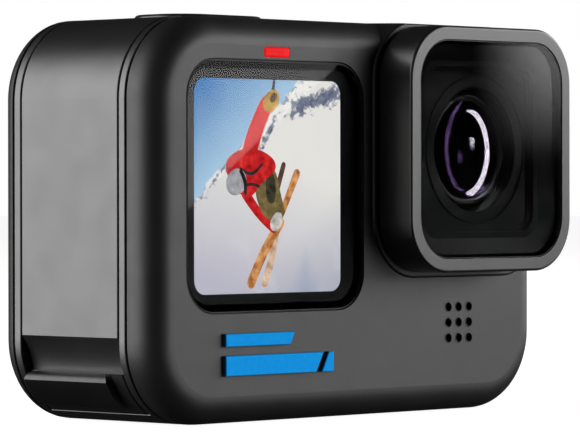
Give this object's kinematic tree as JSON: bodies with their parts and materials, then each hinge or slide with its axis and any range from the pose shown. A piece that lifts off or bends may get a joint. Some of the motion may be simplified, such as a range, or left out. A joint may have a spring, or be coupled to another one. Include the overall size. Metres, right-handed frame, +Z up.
{
  "type": "action camera",
  "caption": "Waterproof action camera with a square lens cover, front and rear screens, a side battery door and folding mount fingers.",
  "frame": {"origin": "centre of the footprint, on the surface that the camera stands on", "axes": "+X to the right of someone facing the lens side, towards the lens, +Y away from the lens, to the rear screen, +Z up"},
  "size_m": [0.0718, 0.0336, 0.0508],
  "materials": {
    "casing": "soft-touch, fine grain",
    "door_skin": "smooth satin",
    "black_plastic": "moulded",
    "cover_plastic": "semi-gloss",
    "cover_glass": "coated, polished",
    "screen_glass": "polished",
    "display": "display panel",
    "optical_glass": "coated",
    "lens_metal": "black anodised, fine turning marks",
    "red_lens": "clear tinted",
    "clear_lens": "clear smoked",
    "blue_badge": "satin",
    "rubber": "smooth",
    "steel": "plain",
    "finger_metal": "black anodised",
    "tray_metal": "black anodised, blasted",
    "bare_aluminium": "plain",
    "gold_contact": "gold plated",
    "battery_case": "printed case",
    "board": "laminate",
    "chips": "moulded",
    "flex": "film",
    "mesh": "woven"
  },
  "bodies": {
    "camera_body": {"front_cover": "casing", "mid_frame": "casing", "rear_cover": "casing", "front_screen_glass": "screen_glass", "front_screen_gasket": "rubber", "front_display": "display", "rear_touch_glass": "screen_glass", "rear_display": "display", "tally_light": "red_lens", "status_light": "clear_lens", "badge": "blue_badge", "mount_ring": "lens_metal", "lens_barrel": "lens_metal", "front_element": "optical_glass", "middle_element": "optical_glass", "rear_element": "optical_glass", "lens_retainer": "lens_metal", "image_sensor": "chips", "sensor_board": "board", "hinge_bar": "steel", "shutter_seal": "rubber", "shutter_switch": "chips", "mode_seal": "rubber", "mode_switch": "chips", "finger_tray": "tray_metal", "finger_pins": "steel", "finger_detent": "steel", "battery": "battery_case", "battery_contacts": "gold_contact", "battery_bay": "black_plastic", "card_socket": "steel", "usb_port": "steel", "main_board": "board", "processor_shield": "steel", "memory_chips": "chips", "heat_spreader": "bare_aluminium", "speaker": "chips", "speaker_mesh": "mesh", "front_microphone": "chips", "microphone_membrane": "rubber", "antenna": "flex", "flex_cables": "flex", "casing_screws": "steel"},
    "shutter": {"shutter_button": "cover_plastic"},
    "mode": {"mode_button": "cover_plastic"},
    "door": {"side_door": "door_skin", "door_liner": "black_plastic", "door_seal": "rubber", "latch_spring": "steel"},
    "latch": {"door_latch": "black_plastic"},
    "cover_ring": {"lens_seal": "rubber"},
    "lens_cover": {"lens_cover_frame": "cover_plastic", "lens_cover_glass": "cover_glass", "lens_cover_baffle": "black_plastic", "lens_cover_gasket": "rubber", "lens_cover_socket": "black_plastic"},
    "left_finger": {"finger_left": "finger_metal"},
    "right_finger": {"finger_right": "finger_metal"},
    "card": {"memory_card": "chips"}
  },
  "joints": [
    {"name": "shutter_press", "type": "slide", "parent": "camera_body", "child": "shutter", "axis": [0, 0, -1], "range_m": [0, 0.0005], "stiffness_N_per_m": 1500, "springref_m": -0.0005},
    {"name": "mode_press", "type": "slide", "parent": "camera_body", "child": "mode", "axis": [-1, 0, 0], "range_m": [0, 0.0005], "stiffness_N_per_m": 1500, "springref_m": -0.0005},
    {"name": "door_swing", "type": "hinge", "parent": "camera_body", "child": "door", "pos_m": [-0.02659, 0.004, 0.04845], "axis": [0, 1, 0], "range_deg": [0, 100]},
    {"name": "latch_slide", "type": "slide", "parent": "door", "child": "latch", "axis": [0, 0, -1], "range_m": [0, 0.0012], "stiffness_N_per_m": 600, "springref_m": -0.0005, "deforming": ["latch_spring"]},
    {"name": "lens_cover_turn", "type": "hinge", "parent": "camera_body", "child": "cover_ring", "pos_m": [0.01975, -0.0115, 0.034], "axis": [0, -1, 0], "range_deg": [0, 45]},
    {"name": "lens_cover_pull", "type": "slide", "parent": "cover_ring", "child": "lens_cover", "axis": [0, -1, 0], "range_m": [0, 0.012]},
    {"name": "left_finger_fold", "type": "hinge", "parent": "camera_body", "child": "left_finger", "pos_m": [-0.00305, 0.00409, 0.00165], "axis": [0, -1, 0], "range_deg": [0, 90]},
    {"name": "right_finger_fold", "type": "hinge", "parent": "camera_body", "child": "right_finger", "pos_m": [0.00305, 0.00409, 0.00165], "axis": [0, 1, 0], "range_deg": [0, 90]},
    {"name": "card_push", "type": "slide", "parent": "camera_body", "child": "card", "axis": [1, 0, 0], "range_m": [0, 0.0008], "stiffness_N_per_m": 600, "springref_m": -0.0005}
  ]
}
